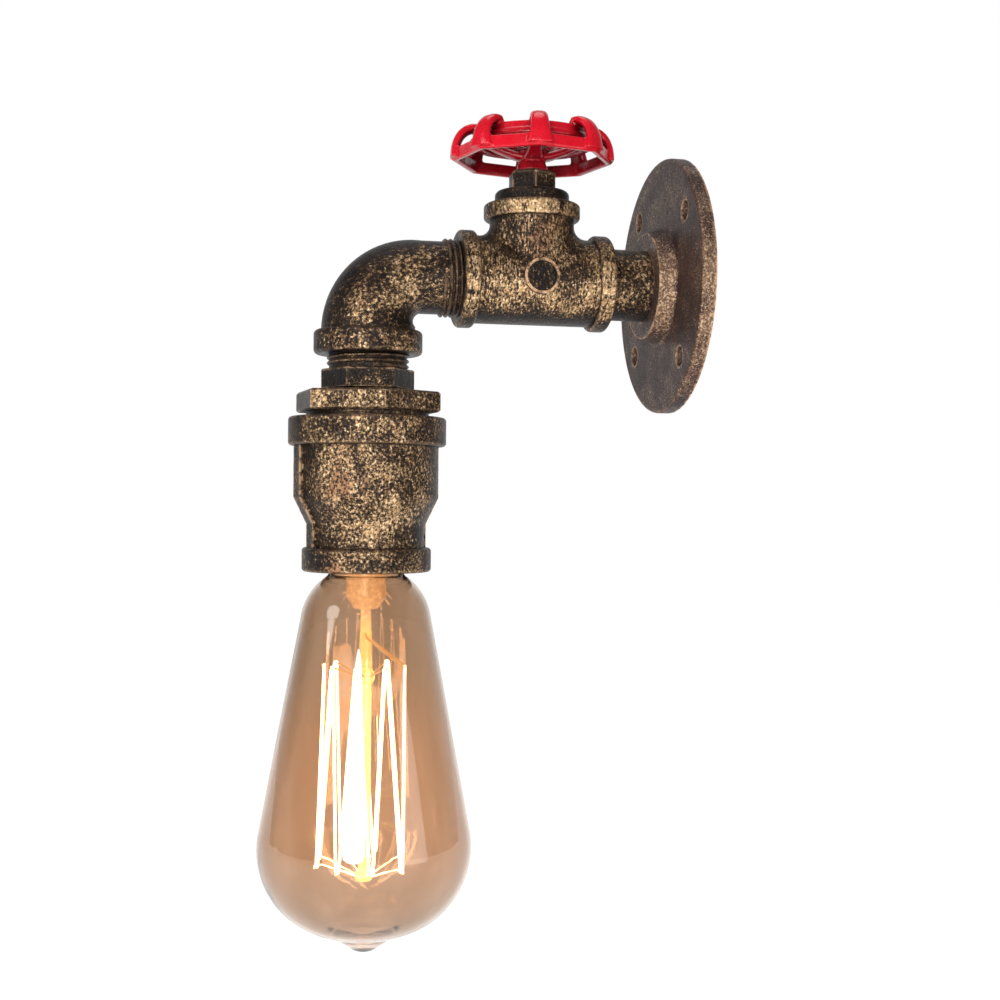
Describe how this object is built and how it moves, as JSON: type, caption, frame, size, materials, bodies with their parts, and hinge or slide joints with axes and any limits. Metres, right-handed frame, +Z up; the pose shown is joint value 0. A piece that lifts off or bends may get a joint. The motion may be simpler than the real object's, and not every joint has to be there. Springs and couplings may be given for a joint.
{
  "type": "wall lamp",
  "caption": "Wall lamp built from threaded pipe fittings: a round flange, a short arm with a valve wheel, an elbow and a bell-shaped socket with a teardrop bulb hanging below.",
  "frame": {"origin": "centre of the flange's back face, on the wall", "axes": "+Y into the wall, +Z up, the arm reaches out along -Y and the bulb hangs along -Z"},
  "size_m": [0.09, 0.1458, 0.2837],
  "materials": {
    "flange_bronze": "dark antique bronze lacquer, rubbed at the edges",
    "aged_bronze": "antique bronze lacquer over rough cast iron, rubbed gold on the high spots",
    "red_paint": "gloss enamel",
    "zinc_steel": "zinc plated",
    "brass": "turned",
    "nickel_brass": "nickel plated",
    "dark_plastic": "moulded",
    "porcelain": "glazed porcelain",
    "black_glass": "opaque glass",
    "solder": "tinned",
    "amber_glass": "smoky amber",
    "clear_glass": "clear",
    "filament_wire": "glowing carbon filament",
    "support_wire": "drawn wire",
    "brown_sleeve": "insulated wire",
    "blue_sleeve": "insulated wire"
  },
  "bodies": {
    "pipework": {"wall_flange": "flange_bronze", "flange_nipple": "aged_bronze", "pipe_tee": "aged_bronze", "valve_bonnet": "aged_bronze", "gland_nut": "aged_bronze", "switch_body": "dark_plastic", "street_elbow": "aged_bronze", "hex_nipple": "aged_bronze", "hex_bushing": "aged_bronze", "reducing_socket": "aged_bronze", "holder_ring": "zinc_steel", "lampholder_body": "porcelain", "lampholder_shell": "nickel_brass", "lampholder_tongue": "brass", "holder_terminals": "brass", "terminal_screws": "zinc_steel", "holder_rivets": "brass", "feed_wire": "brown_sleeve", "switched_wire": "brown_sleeve", "neutral_wire": "blue_sleeve"},
    "valve_wheel": {"spindle": "brass", "handwheel": "red_paint", "wheel_washer": "zinc_steel", "wheel_nut": "zinc_steel"},
    "bulb": {"bulb_glass": "amber_glass", "bulb_cap": "nickel_brass", "cap_insulator": "black_glass", "cap_button": "solder", "bulb_stem": "clear_glass", "bulb_rod": "clear_glass", "filament": "filament_wire", "upper_hooks": "support_wire", "lower_hooks": "support_wire", "bulb_leads": "support_wire"}
  },
  "joints": [
    {"name": "valve_turn", "type": "hinge", "parent": "pipework", "child": "valve_wheel", "pos_m": [0, -0.0518, 0], "axis": [0, 0, 1], "continuous": true},
    {"name": "bulb_out", "type": "slide", "parent": "pipework", "child": "bulb", "axis": [0, 0, -1], "range_m": [0, 0.04]}
  ]
}
